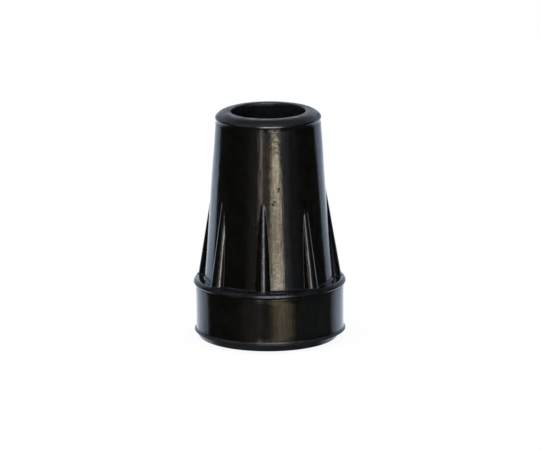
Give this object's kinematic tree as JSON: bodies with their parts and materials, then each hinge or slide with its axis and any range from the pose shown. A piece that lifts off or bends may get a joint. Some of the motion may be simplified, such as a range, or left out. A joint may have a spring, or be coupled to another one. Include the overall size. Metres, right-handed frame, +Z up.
{
  "type": "rubber cane tip",
  "caption": "Moulded rubber ferrule for a walking cane: a tapered sleeve with a blind socket, buttress ribs, and a wide foot with a ringed tread.",
  "frame": {"origin": "centre of the tread face that meets the ground", "axes": "+Z up along the socket's axis, from the ground to the mouth; +X and +Y each through the middle of a buttress rib"},
  "size_m": [0.0386, 0.0386, 0.0586],
  "materials": {
    "black_rubber": "moulded black rubber, polished on the sleeve and the foot's side, duller on the collar, the foot's top edge and the tread"
  },
  "bodies": {
    "root": {"cane_tip": "black_rubber"}
  },
  "joints": []
}
